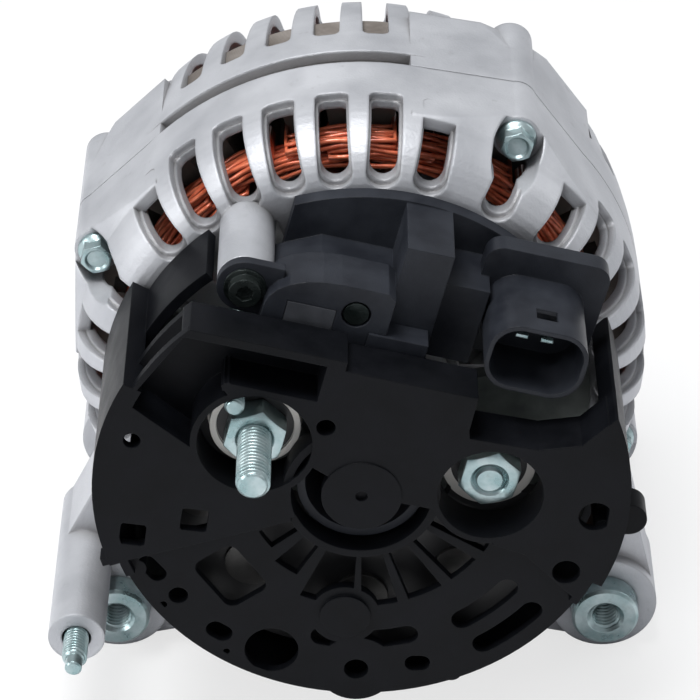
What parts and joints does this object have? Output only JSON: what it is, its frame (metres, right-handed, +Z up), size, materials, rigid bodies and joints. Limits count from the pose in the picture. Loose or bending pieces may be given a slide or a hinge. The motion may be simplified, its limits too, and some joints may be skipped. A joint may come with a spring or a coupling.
{
  "type": "alternator",
  "caption": "Claw-pole alternator with vented cast brackets, ribbed belt pulley, two pairs of mounting lugs and a moulded rear cover.",
  "frame": {"origin": "on the shaft axis at the middle of the belt track of the pulley", "axes": "+Y along the shaft towards the pulley nut, +Z up, away from the mounting lugs, +X to the right seen from the rear cover"},
  "size_m": [0.1478, 0.191, 0.142],
  "materials": {
    "cast_aluminium": "matt die-cast",
    "heat_sink_aluminium": "satin",
    "insulated_plate": "matt, grey-green insulation",
    "lamination_steel": "stacked sheet edges, varnished",
    "machined_steel": "turned",
    "zinc_plated_steel": "bright blue zinc",
    "forged_steel": "forged and turned",
    "black_steel": "black coated",
    "enamelled_copper": "varnished winding wire",
    "bare_copper": "turned copper",
    "black_moulding": "moulded, matt",
    "slate_moulding": "moulded, satin",
    "natural_moulding": "moulded",
    "carbon": "pressed carbon"
  },
  "bodies": {
    "housing": {"rear_bracket": "cast_aluminium", "front_bracket": "cast_aluminium", "regulator_heat_sink": "heat_sink_aluminium", "positive_plate": "heat_sink_aluminium", "negative_plate": "insulated_plate", "stator_core": "lamination_steel", "rear_bearing_outer": "machined_steel", "front_bearing_outer": "machined_steel", "brush_spring_rear": "machined_steel", "brush_spring_front": "machined_steel", "positive_diodes": "machined_steel", "negative_diodes": "machined_steel", "through_bolts": "zinc_plated_steel", "regulator_screws": "zinc_plated_steel", "connector_pins": "zinc_plated_steel", "rectifier_screws": "zinc_plated_steel", "cover_stud": "zinc_plated_steel", "main_stud": "zinc_plated_steel", "main_nut": "zinc_plated_steel", "second_stud": "zinc_plated_steel", "second_nut": "zinc_plated_steel", "side_stud": "zinc_plated_steel", "bearing_retainer": "zinc_plated_steel", "retainer_screws": "zinc_plated_steel", "phase_winding_u": "enamelled_copper", "phase_winding_v": "enamelled_copper", "phase_winding_w": "enamelled_copper", "rear_cover": "black_moulding", "wiring_frame": "black_moulding", "rectifier_posts": "black_moulding", "rear_bearing_sleeve": "black_moulding", "regulator_body": "slate_moulding", "brush_holder": "slate_moulding"},
    "rotor": {"rotor_shaft": "machined_steel", "claw_pole_rear": "forged_steel", "claw_pole_front": "forged_steel", "coil_bobbin": "natural_moulding", "field_coil": "enamelled_copper", "rear_fan": "machined_steel", "front_fan": "machined_steel", "slip_ring_carrier": "black_moulding", "slip_rings": "bare_copper", "rear_bearing_inner": "machined_steel", "front_bearing_inner": "machined_steel", "front_spacer": "machined_steel", "pulley_spacer": "machined_steel", "pulley": "black_steel", "pulley_nut": "zinc_plated_steel"},
    "rear_cage": {"rear_ball_cage": "zinc_plated_steel", "rear_balls": "machined_steel"},
    "front_cage": {"front_ball_cage": "zinc_plated_steel", "front_balls": "machined_steel"},
    "left_bush": {"lug_bush_left": "zinc_plated_steel"},
    "right_bush": {"lug_bush_right": "zinc_plated_steel"},
    "rear_carbon": {"brush_rear": "carbon"},
    "front_carbon": {"brush_front": "carbon"}
  },
  "joints": [
    {"name": "rotor_spin", "type": "hinge", "parent": "housing", "child": "rotor", "pos_m": [0, 0, 0], "axis": [0, 1, 0], "continuous": true},
    {"name": "rear_cage_spin", "type": "hinge", "parent": "housing", "child": "rear_cage", "pos_m": [0, 0, 0], "axis": [0, 1, 0], "continuous": true},
    {"name": "front_cage_spin", "type": "hinge", "parent": "housing", "child": "front_cage", "pos_m": [0, 0, 0], "axis": [0, 1, 0], "continuous": true},
    {"name": "left_bush_slide", "type": "slide", "parent": "housing", "child": "left_bush", "axis": [0, 1, 0], "range_m": [0, 0.004]},
    {"name": "right_bush_slide", "type": "slide", "parent": "housing", "child": "right_bush", "axis": [0, 1, 0], "range_m": [0, 0.004]},
    {"name": "rear_brush_slide", "type": "slide", "parent": "housing", "child": "rear_carbon", "axis": [0.2419, 0, 0.9703], "range_m": [0, 0.005], "stiffness_N_per_m": 120, "springref_m": -0.02, "deforming": ["brush_spring_rear"]},
    {"name": "front_brush_slide", "type": "slide", "parent": "housing", "child": "front_carbon", "axis": [0.2419, 0, 0.9703], "range_m": [0, 0.005], "stiffness_N_per_m": 120, "springref_m": -0.02, "deforming": ["brush_spring_front"]}
  ],
  "couplings": [
    {"joint": "rear_cage_spin", "follows": "rotor_spin", "ratio": 0.408},
    {"joint": "front_cage_spin", "follows": "rotor_spin", "ratio": 0.364}
  ]
}
